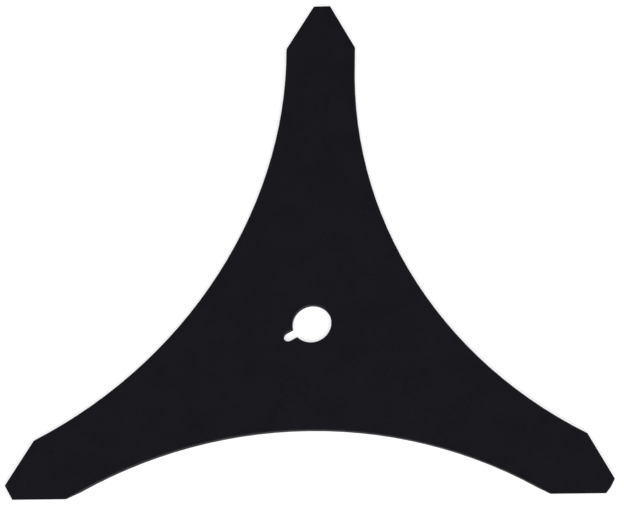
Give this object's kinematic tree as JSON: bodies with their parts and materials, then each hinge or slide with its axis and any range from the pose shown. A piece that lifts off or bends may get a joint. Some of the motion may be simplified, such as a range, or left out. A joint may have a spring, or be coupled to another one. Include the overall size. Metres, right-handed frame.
{
  "type": "brush cutter blade",
  "caption": "Flat star-shaped brush cutter blade: scalloped arms with slanted, ground cutting edges at their tips, around a round arbor bore with a pin notch.",
  "frame": {"origin": "on the arbor bore's axis, level with the plate's lower face, which is the face that the cutting edges are ground from", "axes": "+Z square to the plate, from the ground lower face to the plain upper face; +Y along the centre line of the arm that the pin notch points to; +X to the right of that arm"},
  "size_m": [0.3072, 0.2661, 0.003],
  "materials": {
    "black_coating": "satin"
  },
  "bodies": {
    "root": {"blade": "black_coating"}
  },
  "joints": []
}
